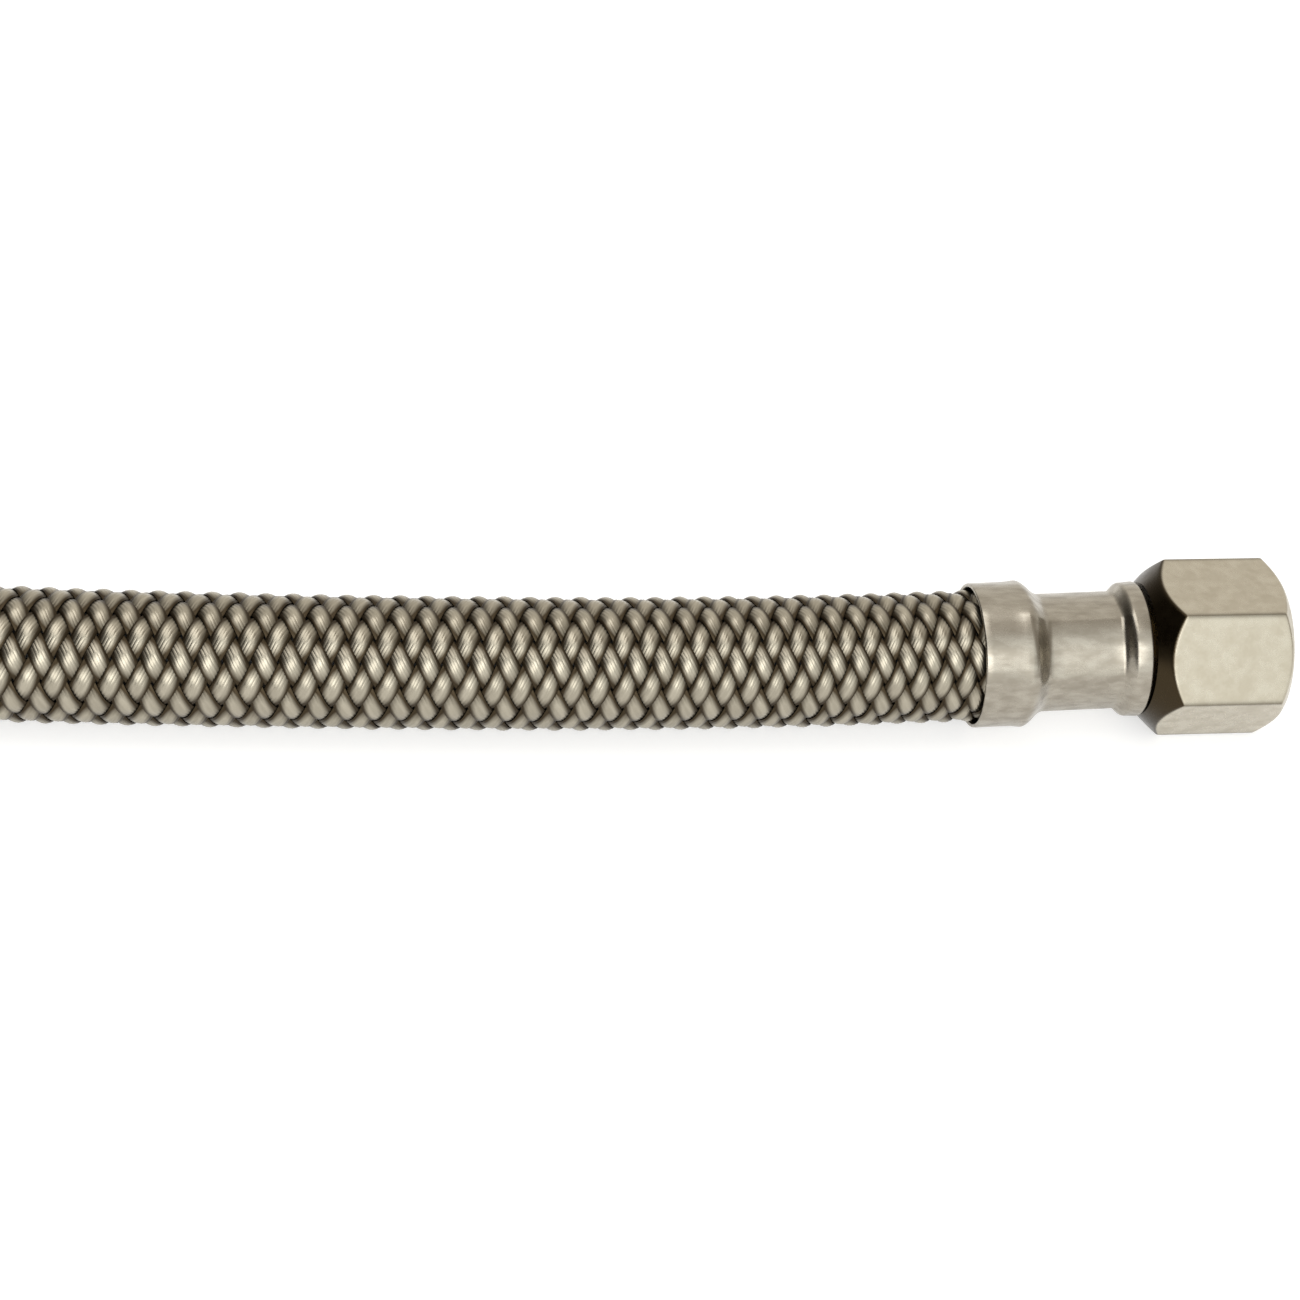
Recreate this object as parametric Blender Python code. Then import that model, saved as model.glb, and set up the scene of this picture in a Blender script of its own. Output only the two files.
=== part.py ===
"""Braided faucet connector: a short water hose with a swivel nut on the crimped fitting at each end.

Metres, +Z up. X runs along the hose, and each nut rests on one of its flats at Z = 0. The origin is
on that surface, under the middle of the connector.
"""

import math

import bmesh
import bpy
from mathutils import Matrix, Vector

# Clearances
CLEARANCE = 0.00025
SWIVEL_PLAY = 0.0006
NUT_TO_FERRULE = 0.0005

# Coupling nut, with a 9/16 in thread left plain in its bore
NUT_ACROSS_FLATS = 0.015875
NUT_LENGTH = 0.0140
NUT_WEB = 0.0030
NUT_WALL = 0.0010875
NUT_MOUTH_CHAMFER = 0.00025
NUT_FACE_INSET = 0.0003875
NUT_FACE_CHAMFER = math.radians(36)
NUT_REAR_INSET = 0.0011875
NUT_REAR_CHAMFER = math.radians(45)

# Insert: a turned brass stem with a flange inside the nut and a barbed tail inside the hose
WATERWAY_RADIUS = 0.00295
TAIL_WALL = 0.0005
TAIL_LENGTH = 0.0138
BARB_HEIGHT = 0.00012
BARB_COUNT = 3
INSERT_NECK_RADIUS = 0.0049
FLANGE_IN_BORE_PLAY = 0.00035
FLANGE_THICKNESS = 0.0016

# Cone seal on the front of the insert
SEAL_LENGTH = 0.0040
SEAL_SHOULDER = 0.0007
SEAL_TAPER = 0.0017
SEAL_BASE_RIM = 0.0011

# Hose: a rubber tube inside a woven steel sleeve, and what the crimp squeezes their walls to
TUBE_BORE_RADIUS = 0.0040
TUBE_WALL = 0.00145
TUBE_CRIMPED_WALL = 0.0006
BRAID_THICKNESS = 0.0010
BRAID_CRIMPED_THICKNESS = 0.0004
BRAID_RELIEF = 0.00045
BRAID_CARRIERS = 16
BRAID_HALF_PITCH = 0.00136
TUBE_STATION_SPACING = 0.012

# Ferrule, by the lengths of its stretches from the hose's cut end to each side
FERRULE_WALL = 0.0004
NECK_LENGTH = 0.0074
STEP_LENGTH = 0.0020
BAND_LENGTH = 0.0051
BEAD_LENGTH = 0.0027
BEAD_RADIUS = 0.0069
SHOULDER_ROUND = 0.0011
CRIMP_FLATS = 6
CRIMP_TURN = math.radians(17.5)
CRIMP_DEPTH_SHARE = 0.35

# Centreline of one half of the hose, from its cut end in the ferrule to the middle. Each point is
# the distance from the middle, the sideways shift and the drop below the nuts' axis. The first three
# lie on one straight line, the fitting's own axis. The rest bow gently and come down to the surface
# that the nuts rest on. Along this line the nuts' faces are 228.6 mm (9 in) apart.
HALF_ROUTE = [
    (0.0969, 0.000163, 0.000135),
    (0.0898, -0.000333, 0.000338),
    (0.0826, -0.000837, 0.000544),
    (0.0758, -0.001293, 0.000735),
    (0.0678, -0.001779, 0.000920),
    (0.0578, -0.002311, 0.001090),
    (0.0458, -0.002837, 0.001190),
    (0.0338, -0.003241, 0.0012075),
    (0.0218, -0.003524, 0.0012075),
    (0.0098, -0.003684, 0.0012075),
    (0.0000, -0.003725, 0.0012075),
]

# Facets
ROUND_SEGMENTS = 24
NUT_SEGMENTS = 36
STEP_STATIONS = 4
ROUND_STATIONS = 3

# Places along a fitting's axis, measured from the hose's cut end towards the mouth
FERRULE_END = BEAD_LENGTH
FERRULE_RIM = -(NECK_LENGTH + STEP_LENGTH + BAND_LENGTH)
NUT_REAR = FERRULE_END + NUT_TO_FERRULE
NUT_FRONT = NUT_REAR + NUT_LENGTH
NUT_PIVOT = NUT_REAR + NUT_WEB / 2
FLANGE_BACK = NUT_REAR + NUT_WEB + SWIVEL_PLAY
FLANGE_FRONT = FLANGE_BACK + FLANGE_THICKNESS
SEAL_BACK = FLANGE_FRONT + CLEARANCE

# Radii of the nut that follow from its flats, and of what fits in its bore
NUT_INSCRIBED_RADIUS = NUT_ACROSS_FLATS / 2
NUT_CORNER_RADIUS = NUT_INSCRIBED_RADIUS / math.cos(math.pi / 6)
NUT_BORE_RADIUS = NUT_INSCRIBED_RADIUS - NUT_WALL
NUT_FACE_RADIUS = NUT_INSCRIBED_RADIUS - NUT_FACE_INSET
NUT_REAR_RADIUS = NUT_INSCRIBED_RADIUS - NUT_REAR_INSET
FLANGE_RADIUS = NUT_BORE_RADIUS - FLANGE_IN_BORE_PLAY
SEAL_BASE_RADIUS = FLANGE_RADIUS - SEAL_SHOULDER
SEAL_TIP_RADIUS = SEAL_BASE_RADIUS - SEAL_TAPER

# Radii that follow from the pieces inside
TAIL_RADIUS = WATERWAY_RADIUS + TAIL_WALL
TUBE_CRIMPED_BORE = TAIL_RADIUS + BARB_HEIGHT + CLEARANCE
TUBE_CRIMPED_RADIUS = TUBE_CRIMPED_BORE + TUBE_CRIMPED_WALL
TUBE_RADIUS = TUBE_BORE_RADIUS + TUBE_WALL
BRAID_CRIMPED_RADIUS = TUBE_CRIMPED_RADIUS + CLEARANCE + BRAID_CRIMPED_THICKNESS
HOSE_RADIUS = TUBE_RADIUS + CLEARANCE + BRAID_THICKNESS
INSERT_HOLE_RADIUS = INSERT_NECK_RADIUS + CLEARANCE
AXIS_HEIGHT = NUT_INSCRIBED_RADIUS
HOSE_END = HALF_ROUTE[0][0]


def clear_scene():
    """Takes every object out of the scene."""
    for obj in list(bpy.data.objects):
        bpy.data.objects.remove(obj, do_unlink=True)


def make_material(name, colour, metallic, roughness):
    """A Principled material of one colour."""
    material = bpy.data.materials.new(name)
    material.use_nodes = True
    shader = material.node_tree.nodes["Principled BSDF"]
    shader.inputs["Base Color"].default_value = (*colour, 1.0)
    shader.inputs["Metallic"].default_value = metallic
    shader.inputs["Roughness"].default_value = roughness
    return material


def add_object(name, mesh_builder, material, sharp_angle=math.radians(30)):
    """Turns a finished bmesh into a named object, shaded smooth up to the sharp angle."""
    bmesh.ops.recalc_face_normals(mesh_builder, faces=mesh_builder.faces)
    mesh = bpy.data.meshes.new(name)
    mesh_builder.to_mesh(mesh)
    mesh_builder.free()
    mesh.shade_smooth()
    mesh.set_sharp_from_angle(angle=sharp_angle)
    if material:
        mesh.materials.append(material)
    obj = bpy.data.objects.new(name, mesh)
    bpy.context.scene.collection.objects.link(obj)
    return obj


def bridge_rings(mesh_builder, rings, closed):
    """Quads between each ring and the next, and back to the first one where the section is closed."""
    rows = [[mesh_builder.verts.new(point) for point in ring] for ring in rings]
    followers = rows[1:] + rows[:1] if closed else rows[1:]
    for row, follower in zip(rows, followers):
        count = len(row)
        for index in range(count):
            after = (index + 1) % count
            mesh_builder.faces.new((row[index], row[after], follower[after], follower[index]))
    return rows


def tube_between(rings):
    """A closed tube wall: its rings go out along one face and come back along the other."""
    mesh_builder = bmesh.new()
    bridge_rings(mesh_builder, rings, closed=True)
    return mesh_builder


def solid_between(rings):
    """A solid bar from its first ring to its last, with a flat cap on each."""
    mesh_builder = bmesh.new()
    rows = bridge_rings(mesh_builder, rings, closed=False)
    mesh_builder.faces.new(rows[0])
    mesh_builder.faces.new(rows[-1])
    return mesh_builder


def round_ring(place, radius, segments=ROUND_SEGMENTS):
    """A ring of points about the X axis, the first at the +Y side."""
    turns = (2 * math.pi * index / segments for index in range(segments))
    return [Vector((place, radius * math.cos(turn), radius * math.sin(turn))) for turn in turns]


def turned_rings(profile, segments=ROUND_SEGMENTS):
    """One ring for each (place, radius) pair of a turned profile."""
    return [round_ring(place, radius, segments) for place, radius in profile]


def ease(share):
    """A smooth rise from 0 to 1, level at both ends."""
    return (1 - math.cos(math.pi * min(max(share, 0.0), 1.0))) / 2


def crimped_radius(depth, free, crimped):
    """A radius at a depth under the ferrule: squeezed along its neck, and eased out over its step."""
    return crimped + (free - crimped) * ease((depth - NECK_LENGTH) / STEP_LENGTH)


def crimp_depths():
    """Depths where everything under the ferrule has a ring, from the hose's cut end to the rim."""
    step = [NECK_LENGTH + STEP_LENGTH * index / STEP_STATIONS for index in range(STEP_STATIONS + 1)]
    return [0.0] + step + [-FERRULE_RIM]


def crimp_ring(place, radius, share):
    """A ring pressed towards flats: share 0 leaves it round, and 1 makes it a full polygon.

    The radius is the one at the middle of a flat, so whatever lies inside keeps its clearance.
    """
    ring = []
    flat = 2 * math.pi / CRIMP_FLATS
    for index in range(ROUND_SEGMENTS):
        from_flat = 2 * math.pi * index / ROUND_SEGMENTS
        from_middle = (from_flat + flat / 2) % flat - flat / 2
        reach = radius * (1 + share * (1 / math.cos(from_middle) - 1))
        turn = from_flat + CRIMP_TURN
        ring.append(Vector((place, reach * math.cos(turn), reach * math.sin(turn))))
    return ring


def ferrule_rings():
    """Rings of the crimped ferrule: outside from the rim to the nut, round the lip, and back inside."""
    inner = []
    for depth in crimp_depths():
        radius = crimped_radius(depth, HOSE_RADIUS, BRAID_CRIMPED_RADIUS) + CLEARANCE
        pressed = CRIMP_DEPTH_SHARE * (1 - ease((depth - NECK_LENGTH) / STEP_LENGTH))
        inner.append((-depth, radius, pressed))
    neck_radius = inner[0][1]
    shoulder = []
    for index in range(1, ROUND_STATIONS + 1):
        turn = math.pi / 2 * index / ROUND_STATIONS
        rise = BEAD_RADIUS - FERRULE_WALL - neck_radius
        place = SHOULDER_ROUND * (1 - math.cos(turn))
        pressed = CRIMP_DEPTH_SHARE * (1 - index / ROUND_STATIONS)
        shoulder.append((place, neck_radius + rise * math.sin(turn), pressed))
    inside = list(reversed(inner)) + shoulder
    outside = [crimp_ring(place, radius + FERRULE_WALL, pressed) for place, radius, pressed in inside]
    lip = [
        (FERRULE_END - FERRULE_WALL, BEAD_RADIUS),
        (FERRULE_END - FERRULE_WALL / 4, BEAD_RADIUS - FERRULE_WALL / 4),
        (FERRULE_END, BEAD_RADIUS - FERRULE_WALL),
        (FERRULE_END, INSERT_HOLE_RADIUS),
        (FERRULE_END - FERRULE_WALL, INSERT_HOLE_RADIUS),
        (FERRULE_END - FERRULE_WALL, BEAD_RADIUS - FERRULE_WALL),
    ]
    round_lip = [crimp_ring(place, radius, 0.0) for place, radius in lip]
    returning = [crimp_ring(place, radius, pressed) for place, radius, pressed in reversed(inside)]
    return outside + round_lip + returning


def insert_profile():
    """Outside of the insert from the tail's tip to the flange, then its bore back."""
    tip = -TAIL_LENGTH
    shoulder = CLEARANCE
    chamfer = TAIL_WALL / 2
    profile = [(tip, TAIL_RADIUS - chamfer), (tip + chamfer, TAIL_RADIUS)]
    spacing = (TAIL_LENGTH - chamfer) / (BARB_COUNT + 1)
    for index in range(1, BARB_COUNT + 1):
        place = tip + chamfer + spacing * index
        profile.append((place, TAIL_RADIUS + BARB_HEIGHT))
        profile.append((place + BARB_HEIGHT, TAIL_RADIUS))
    profile += [
        (shoulder, TAIL_RADIUS),
        (shoulder, INSERT_NECK_RADIUS),
        (FLANGE_BACK, INSERT_NECK_RADIUS),
        (FLANGE_BACK, FLANGE_RADIUS),
        (FLANGE_FRONT, FLANGE_RADIUS),
        (FLANGE_FRONT, WATERWAY_RADIUS),
        (tip, WATERWAY_RADIUS),
    ]
    return profile


def seal_profile():
    """Section of the cone seal, which narrows towards the mouth."""
    front = SEAL_BACK + SEAL_LENGTH
    return [
        (SEAL_BACK, SEAL_BASE_RADIUS),
        (SEAL_BACK + SEAL_BASE_RIM, SEAL_BASE_RADIUS),
        (front, SEAL_TIP_RADIUS),
        (front, WATERWAY_RADIUS),
        (SEAL_BACK, WATERWAY_RADIUS),
    ]


def hex_bar():
    """A hexagonal bar along X, with flats up and down, extruded past both faces of the nut."""
    mesh_builder = bmesh.new()
    spare = NUT_CORNER_RADIUS - NUT_REAR_RADIUS
    start = NUT_REAR - NUT_PIVOT - spare
    corners = [mesh_builder.verts.new(point) for point in round_ring(start, NUT_CORNER_RADIUS, 6)]
    face = mesh_builder.faces.new(corners)
    grown = bmesh.ops.extrude_face_region(mesh_builder, geom=[face])
    moved = [item for item in grown["geom"] if isinstance(item, bmesh.types.BMVert)]
    length = NUT_LENGTH + 2 * spare
    bmesh.ops.translate(mesh_builder, vec=Vector((length, 0, 0)), verts=moved)
    return mesh_builder


def nut_envelope_profile():
    """Turned outline that chamfers the hexagon's corners at both faces of the nut."""
    rear = NUT_REAR - NUT_PIVOT
    front = NUT_FRONT - NUT_PIVOT
    outer = 1.1 * NUT_CORNER_RADIUS
    return [
        (rear, NUT_REAR_RADIUS),
        (rear + (outer - NUT_REAR_RADIUS) * math.tan(NUT_REAR_CHAMFER), outer),
        (front - (outer - NUT_FACE_RADIUS) * math.tan(NUT_FACE_CHAMFER), outer),
        (front, NUT_FACE_RADIUS),
    ]


def nut_bore_profile():
    """Turned cutter for the nut: the hole in its web, the threaded bore and the chamfer at its mouth."""
    rear = NUT_REAR - NUT_PIVOT
    front = NUT_FRONT - NUT_PIVOT
    web = rear + NUT_WEB
    past = NUT_WEB / 3
    return [
        (rear - past, INSERT_HOLE_RADIUS),
        (web, INSERT_HOLE_RADIUS),
        (web, NUT_BORE_RADIUS),
        (front - NUT_MOUTH_CHAMFER, NUT_BORE_RADIUS),
        (front + past, NUT_BORE_RADIUS + NUT_MOUTH_CHAMFER + past),
    ]


def add_cutter(name, profile, parent):
    """A turned helper for a Boolean, hidden in renders and drawn as wire."""
    cutter = add_object(name, solid_between(turned_rings(profile, NUT_SEGMENTS)), None)
    cutter.hide_render = True
    cutter.display_type = "WIRE"
    cutter.parent = parent
    return cutter


def add_boolean(obj, name, operation, cutter):
    """One Boolean step on an object."""
    modifier = obj.modifiers.new(name, "BOOLEAN")
    modifier.operation = operation
    modifier.object = cutter


def add_nut(end_name, parent, material):
    """Hexagonal nut: a bar chamfered by the turned envelope, then bored."""
    nut = add_object(f"{end_name}_nut", hex_bar(), material)
    nut.parent = parent
    envelope = add_cutter(f"{end_name}_nut_envelope", nut_envelope_profile(), parent)
    bore = add_cutter(f"{end_name}_nut_bore", nut_bore_profile(), parent)
    add_boolean(nut, "chamfers", "INTERSECT", envelope)
    add_boolean(nut, "bore", "DIFFERENCE", bore)
    return nut


def fitting_slants():
    """Heading and pitch of the +X end's axis, from the straight start of the route."""
    outer, inner = HALF_ROUTE[:2]
    along, sideways, climb = (outer[0] - inner[0], outer[1] - inner[1], inner[2] - outer[2])
    return math.atan2(sideways, along), math.atan2(climb, math.hypot(along, sideways))


def run_along_x():
    """How far along X a metre of the fitting's axis reaches."""
    heading, pitch = fitting_slants()
    return math.cos(heading) * math.cos(pitch)


def heading_of(side):
    """Turn about Z of the +X end (side 1) or of its mirror image (side -1)."""
    heading = fitting_slants()[0]
    return heading if side > 0 else math.pi - heading


def fitting_axis(side):
    """Place and direction of an end's fitting: its own X runs from the hose's cut end to the mouth."""
    distance, sideways, drop = HALF_ROUTE[0]
    place = Vector((side * distance, sideways, AXIS_HEIGHT - drop))
    pitch = fitting_slants()[1]
    return (
        Matrix.Translation(place)
        @ Matrix.Rotation(heading_of(side), 4, "Z")
        @ Matrix.Rotation(-pitch, 4, "Y")
    )


def nut_axis(side):
    """Place and direction of an end's level nut: its own X starts in the middle of its web."""
    pivot = fitting_axis(side) @ Vector((NUT_PIVOT, 0, 0))
    pivot.z = AXIS_HEIGHT
    return Matrix.Translation(pivot) @ Matrix.Rotation(heading_of(side), 4, "Z")


def add_empty(name, matrix):
    """An empty that carries the pieces of one axis."""
    empty = bpy.data.objects.new(name, None)
    empty.matrix_world = matrix
    bpy.context.scene.collection.objects.link(empty)
    return empty


def add_end(end_name, side, materials):
    """One end of the connector: ferrule, insert and seal on the hose's axis, and the level nut."""
    swivel = add_empty(f"{end_name}_nut_axis", nut_axis(side))
    add_nut(end_name, swivel, materials["nut"])
    fitting = add_empty(f"{end_name}_fitting_axis", fitting_axis(side))
    pieces = [
        add_object(f"{end_name}_ferrule", tube_between(ferrule_rings()), materials["ferrule"]),
        add_object(f"{end_name}_insert", tube_between(turned_rings(insert_profile())), materials["insert"]),
        add_object(f"{end_name}_seal", tube_between(turned_rings(seal_profile())), materials["seal"]),
    ]
    for piece in pieces:
        piece.parent = fitting


def full_route():
    """Points of the whole centreline, from the -X end to the +X end."""
    right = [Vector((x, sideways, AXIS_HEIGHT - drop)) for x, sideways, drop in reversed(HALF_ROUTE)]
    left = [Vector((-point.x, point.y, point.z)) for point in reversed(right[1:])]
    return left + right


def route_slope(route, index):
    """Direction of the smooth curve at one of the route's points, for each metre along X."""
    before = route[max(index - 1, 0)]
    after = route[min(index + 1, len(route) - 1)]
    return (after - before) / (after.x - before.x)


def hose_frame(route, x):
    """Centre and direction at x, on a smooth cubic curve through the route's points."""
    index = 0
    while index < len(route) - 2 and x > route[index + 1].x:
        index += 1
    change = route[index + 1] - route[index]
    share = (x - route[index].x) / change.x
    leaving = route_slope(route, index) * change.x
    arriving = route_slope(route, index + 1) * change.x
    cubic = leaving + arriving - 2 * change
    square = 3 * change - 2 * leaving - arriving
    centre = route[index] + share * (leaving + share * (square + share * cubic))
    along = leaving + share * (2 * square + 3 * share * cubic)
    return centre, along.normalized()


def hose_ring(route, x, radii):
    """A ring square to the hose at x, with one radius for each of its points."""
    centre, along = hose_frame(route, x)
    across = Vector((-along.y, along.x, 0)).normalized()
    up = along.cross(across)
    ring = []
    for index, radius in enumerate(radii):
        turn = 2 * math.pi * index / len(radii)
        ring.append(centre + across * (radius * math.cos(turn)) + up * (radius * math.sin(turn)))
    return ring


def depth_at(x):
    """Depth of a ring of the hose, measured along the fitting's axis from the nearer cut end."""
    return (HOSE_END - abs(x)) / run_along_x()


def exposed_stations(spacing):
    """Even stations along the hose between the two ferrules' rims, an even number of steps."""
    rim = HOSE_END + FERRULE_RIM * run_along_x()
    steps = 2 * max(1, round(rim / spacing))
    return [-rim + 2 * rim * index / steps for index in range(1, steps)]


def stations(spacing):
    """All stations of a hose piece: under one ferrule, along the open stretch, under the other."""
    under = [HOSE_END - depth * run_along_x() for depth in crimp_depths()]
    return [-x for x in under] + exposed_stations(spacing) + list(reversed(under))


def plain_rings(route, free, crimped):
    """Rings of a smooth round hose surface with one free and one crimped radius."""
    rings = []
    for x in stations(TUBE_STATION_SPACING):
        radius = crimped_radius(depth_at(x), free, crimped)
        rings.append(hose_ring(route, x, [radius] * BRAID_CARRIERS))
    return rings


def braid_rings(route):
    """Rings of the woven surface, where every second point sinks between two crossing strands."""
    rings = []
    exposed = set(exposed_stations(BRAID_HALF_PITCH))
    for row, x in enumerate(stations(BRAID_HALF_PITCH)):
        radius = crimped_radius(depth_at(x), HOSE_RADIUS, BRAID_CRIMPED_RADIUS)
        sink = BRAID_RELIEF if x in exposed else 0.0
        radii = [radius - sink * ((row + column) % 2) for column in range(BRAID_CARRIERS)]
        rings.append(hose_ring(route, x, radii))
    return rings


def split_into_bumps(mesh_builder, centre_line):
    """Cuts each woven quad from sunk corner to sunk corner, so every crossing stands as a bump."""

    def height(vert):
        return (vert.co - centre_line(vert.co.x)).length

    for face in list(mesh_builder.faces):
        corners = list(face.verts)
        first, second = corners[0:3:2], corners[1:4:2]
        sunk = min((first, second), key=lambda pair: sum(map(height, pair)))
        if sum(map(height, first)) != sum(map(height, second)):
            bmesh.utils.face_split(face, *sunk)


def add_hose(materials):
    """The inner tube and the woven sleeve over it, from one ferrule's crimp to the other's."""
    route = full_route()
    tube_outside = plain_rings(route, TUBE_RADIUS, TUBE_CRIMPED_RADIUS)
    tube_inside = plain_rings(route, TUBE_BORE_RADIUS, TUBE_CRIMPED_BORE)
    tube = tube_between(tube_outside + list(reversed(tube_inside)))
    add_object("inner_tube", tube, materials["tube"])

    sleeve_bore = plain_rings(route, TUBE_RADIUS + CLEARANCE, TUBE_CRIMPED_RADIUS + CLEARANCE)
    sleeve = tube_between(braid_rings(route) + list(reversed(sleeve_bore)))
    split_into_bumps(sleeve, lambda x: hose_frame(route, x)[0])
    add_object("braid_sleeve", sleeve, materials["braid"], sharp_angle=math.radians(60))


def make_materials():
    """The connector's finishes."""
    return {
        "nut": make_material("nickel_plated_brass", (0.56, 0.53, 0.46), 1.0, 0.34),
        "ferrule": make_material("pressed_stainless_steel", (0.62, 0.60, 0.56), 1.0, 0.24),
        "insert": make_material("turned_brass", (0.78, 0.60, 0.30), 1.0, 0.28),
        "seal": make_material("black_seal_rubber", (0.025, 0.025, 0.025), 0.0, 0.55),
        "tube": make_material("black_tube_rubber", (0.03, 0.03, 0.028), 0.0, 0.6),
        "braid": make_material("braided_stainless_steel", (0.50, 0.47, 0.41), 1.0, 0.3),
    }


def main():
    """Builds the whole connector."""
    clear_scene()
    materials = make_materials()
    add_hose(materials)
    add_end("valve", 1, materials)
    add_end("faucet", -1, materials)
    bpy.context.view_layer.update()


main()
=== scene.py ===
"""Looks of the braided faucet connector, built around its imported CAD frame.

Every length is in metres, in the frame's own axes: X runs along the hose and the floor is at Z = 0.
"""

import logging
import math
from dataclasses import dataclass
from enum import Enum

import bpy
import numpy as np
from bpy.types import Material, Mesh, Node, NodeSocket, NodeTree, Object
from mathutils import Matrix, Vector


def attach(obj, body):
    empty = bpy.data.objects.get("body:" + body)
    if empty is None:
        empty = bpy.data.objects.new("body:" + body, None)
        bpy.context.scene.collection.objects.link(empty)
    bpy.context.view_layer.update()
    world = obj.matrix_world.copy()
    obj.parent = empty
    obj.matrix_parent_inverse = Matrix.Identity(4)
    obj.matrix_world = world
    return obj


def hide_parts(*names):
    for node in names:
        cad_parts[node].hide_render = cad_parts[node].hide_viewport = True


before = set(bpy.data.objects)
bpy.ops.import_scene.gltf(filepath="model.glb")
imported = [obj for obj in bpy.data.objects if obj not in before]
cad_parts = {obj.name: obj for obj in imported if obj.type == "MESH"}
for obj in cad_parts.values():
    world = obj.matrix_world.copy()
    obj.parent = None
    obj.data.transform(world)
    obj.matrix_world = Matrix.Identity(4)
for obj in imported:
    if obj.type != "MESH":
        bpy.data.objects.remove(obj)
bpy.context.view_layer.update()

LOG = logging.getLogger("connector")

# The centreline of one half of the hose, as in the part's source: distance from the middle,
# sideways shift and drop below the nuts' axis. The first point is the cut end in the ferrule.
HALF_ROUTE = (
    (0.0969, 0.000163, 0.000135),
    (0.0898, -0.000333, 0.000338),
    (0.0826, -0.000837, 0.000544),
    (0.0758, -0.001293, 0.000735),
    (0.0678, -0.001779, 0.000920),
    (0.0578, -0.002311, 0.001090),
    (0.0458, -0.002837, 0.001190),
    (0.0338, -0.003241, 0.0012075),
    (0.0218, -0.003524, 0.0012075),
    (0.0098, -0.003684, 0.0012075),
    (0.0000, -0.003725, 0.0012075),
)
AXIS_HEIGHT = 0.0079375

# Crimp that the ferrule, the tube and the sleeve share, by depth from the hose's cut end
NECK_LENGTH = 0.0074
STEP_LENGTH = 0.0020
BAND_LENGTH = 0.0051
FERRULE_RIM = -(NECK_LENGTH + STEP_LENGTH + BAND_LENGTH)
FERRULE_END = 0.0027
BEAD_GAP = 0.0005
NUT_REAR = FERRULE_END + BEAD_GAP
NUT_WEB = 0.0030
NUT_LENGTH = 0.0140
NUT_PIVOT = NUT_REAR + NUT_WEB / 2
END_PLAY = 0.0006
FLANGE_BACK = NUT_REAR + NUT_WEB + END_PLAY
INSERT_HOLE_RADIUS = 0.00515
CLEARANCE = 0.00025
BROKEN_EDGE = 0.0001
FLANGE_THICKNESS = 0.0016
WATERWAY_RADIUS = 0.00295

# Sockets of a colour Mix node: its factor, its two colours and its result
FACTOR, FIRST, SECOND, MIXED = 0, 6, 7, 2
# Product of a wave texture's scale and the distance between its bands
WAVE_SCALE = 0.32


class End(Enum):
    """The two ends of the connector, by the side of the middle that each is on."""

    VALVE = 1
    FAUCET = -1

    @property
    def label(self) -> str:
        """Prefix of the end's nodes and pieces."""
        return self.name.lower()


class Lay(Enum):
    """The two ways that the sleeve's bands wind."""

    RIGHT = 1
    LEFT = -1


def linear(hex_colour: str) -> tuple[float, float, float, float]:
    """Turns an sRGB hex colour into the linear colour that a node takes.

    Args:
        hex_colour: six hex digits, such as "C8C3B2".

    Returns:
        Red, green, blue and alpha, each from 0 to 1.
    """
    values = [int(hex_colour[i : i + 2], 16) / 255 for i in (0, 2, 4)]
    red, green, blue = (v / 12.92 if v <= 0.04045 else ((v + 0.055) / 1.055) ** 2.4 for v in values)
    return red, green, blue, 1.0


def add_node(tree: NodeTree, kind: str, inputs: dict | None = None, **settings: object) -> Node:
    """Adds a node to a tree, with its settings, its constant inputs and the links into it.

    Args:
        tree: the tree of a material or of the world.
        kind: the node's type name.
        inputs: input names or numbers, each with its constant or with the output that feeds it.
        **settings: the node's own options and their values.

    Returns:
        The new node.
    """
    node = tree.nodes.new(kind)
    for name, value in settings.items():
        setattr(node, name, value)
    for socket, value in (inputs or {}).items():
        if isinstance(value, NodeSocket):
            tree.links.new(value, node.inputs[socket])
        else:
            node.inputs[socket].default_value = value
    return node


@dataclass(frozen=True)
class Finish:
    """What all finishes share: the material's name and the way it is made."""

    name: str

    def shader(self, tree: NodeTree) -> Node:
        """Builds the surface, each finish in its own way."""
        raise NotImplementedError

    def material(self) -> Material:
        """Makes the material.

        Returns:
            The new material, with the finish's shader at its output.
        """
        material = bpy.data.materials.new(self.name)
        material.use_nodes = True
        tree = material.node_tree
        tree.nodes.clear()
        add_node(tree, "ShaderNodeOutputMaterial", {"Surface": self.shader(tree).outputs[0]})
        return material


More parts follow.
